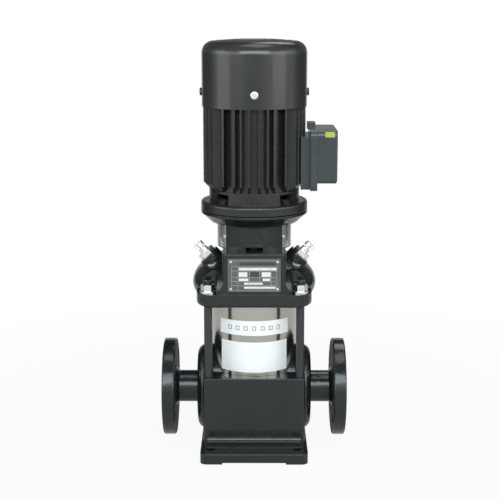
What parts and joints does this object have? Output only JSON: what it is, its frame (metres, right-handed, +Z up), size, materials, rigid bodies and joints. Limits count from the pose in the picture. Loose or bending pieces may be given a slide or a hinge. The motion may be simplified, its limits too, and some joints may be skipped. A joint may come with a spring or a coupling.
{
  "type": "vertical multistage pump",
  "caption": "Vertical multistage centrifugal pump: in-line flanged ports, stainless sleeve on stay bolts, coupling stool and a fan-cooled finned motor with terminal box",
  "frame": {"origin": "on the floor under the shaft axis, midway between the two port flanges", "axes": "+Z up the shaft, +X with the flow from the suction port to the discharge port, -Y the front with the nameplate"},
  "size_m": [0.28, 0.256, 0.616],
  "materials": {
    "black_casting": "gloss black enamel on smooth castings",
    "motor_black": "satin black enamel",
    "aluminium_frame": "satin black enamel on a ribbed frame",
    "stainless": "drawn stainless tube, satin round the body",
    "stage_steel": "plain stainless pressing",
    "guard_steel": "light satin stainless sheet",
    "black_steel": "black oxide steel",
    "zinc": "bright zinc plate",
    "nickel": "bright nickel plate",
    "shaft_steel": "ground steel",
    "bronze": "bearing bronze",
    "seal_ring": "lapped carbon and ceramic",
    "gasket": "black rubber",
    "label": "white film",
    "plate": "anodised plate",
    "core_steel": "stacked electrical sheet",
    "copper": "varnished copper wire",
    "fan_plastic": "black moulded plastic",
    "cowl_black": "satin black enamel on pressed sheet",
    "box_grey": "dark green-grey enamel",
    "board": "moulded board"
  },
  "bodies": {
    "housing": {"pump_base": "black_casting", "drain_plug": "black_steel", "outer_sleeve": "stainless", "sleeve_gaskets": "gasket", "sleeve_labels": "label", "inlet_bowl": "stage_steel", "bottom_bush": "bronze", "stage_chamber_1": "stage_steel", "stage_chamber_2": "stage_steel", "stage_chamber_3": "stage_steel", "neck_rings": "seal_ring", "outlet_bowl": "stage_steel", "stay_bolts": "black_steel", "stay_washers": "zinc", "stay_nuts": "zinc", "pump_head": "black_casting", "priming_plug_left": "nickel", "priming_plug_right": "nickel", "coupling_guard_left": "guard_steel", "coupling_guard_right": "guard_steel", "guard_screws": "zinc", "nameplate": "plate", "nameplate_rivets": "zinc", "seal_gland": "shaft_steel", "seal_still_ring": "seal_ring", "drive_end_shield": "motor_black", "flange_bolts": "black_steel", "motor_frame": "aluminium_frame", "stator_core": "core_steel", "stator_windings": "copper", "bearing_outer_rings": "shaft_steel", "fan_end_shield": "motor_black", "fan_cowl": "cowl_black", "cowl_screws": "zinc", "terminal_box": "box_grey", "terminal_cover": "box_grey", "terminal_screws": "zinc", "terminal_board": "board", "cable_gland": "box_grey"},
    "rotor": {"pump_shaft": "shaft_steel", "impeller_1": "stage_steel", "impeller_2": "stage_steel", "impeller_3": "stage_steel", "shaft_spacers": "stage_steel", "shaft_end_nut": "shaft_steel", "seal_turning_ring": "seal_ring", "seal_collar": "shaft_steel", "coupling_half_front": "black_steel", "coupling_half_rear": "black_steel", "coupling_screws": "shaft_steel", "coupling_pin": "shaft_steel", "motor_shaft": "shaft_steel", "rotor_core": "core_steel", "bearing_inner_rings": "shaft_steel", "cooling_fan": "fan_plastic"},
    "vent_stem_left": {"vent_spindle_left": "nickel"},
    "vent_grip_left": {"vent_knob_left": "nickel"},
    "vent_stem_right": {"vent_spindle_right": "nickel"},
    "vent_grip_right": {"vent_knob_right": "nickel"}
  },
  "joints": [
    {"name": "rotor_spin", "type": "hinge", "parent": "housing", "child": "rotor", "pos_m": [0, 0, 0.35], "axis": [0, 0, 1], "continuous": true},
    {"name": "vent_lift_left", "type": "slide", "parent": "housing", "child": "vent_stem_left", "axis": [-0.7071, 0, 0.7071], "range_m": [0, 0.002]},
    {"name": "vent_turn_left", "type": "hinge", "parent": "vent_stem_left", "child": "vent_grip_left", "pos_m": [-0.08273, 0, 0.30373], "axis": [-0.7071, 0, 0.7071], "range_deg": [0, 720]},
    {"name": "vent_lift_right", "type": "slide", "parent": "housing", "child": "vent_stem_right", "axis": [0.7071, 0, 0.7071], "range_m": [0, 0.002]},
    {"name": "vent_turn_right", "type": "hinge", "parent": "vent_stem_right", "child": "vent_grip_right", "pos_m": [0.08273, 0, 0.30373], "axis": [0.7071, 0, 0.7071], "range_deg": [0, 720]}
  ],
  "couplings": [
    {"joint": "vent_turn_left", "follows": "vent_lift_left", "rad_per_m": 6283.2},
    {"joint": "vent_turn_right", "follows": "vent_lift_right", "rad_per_m": 6283.2}
  ]
}
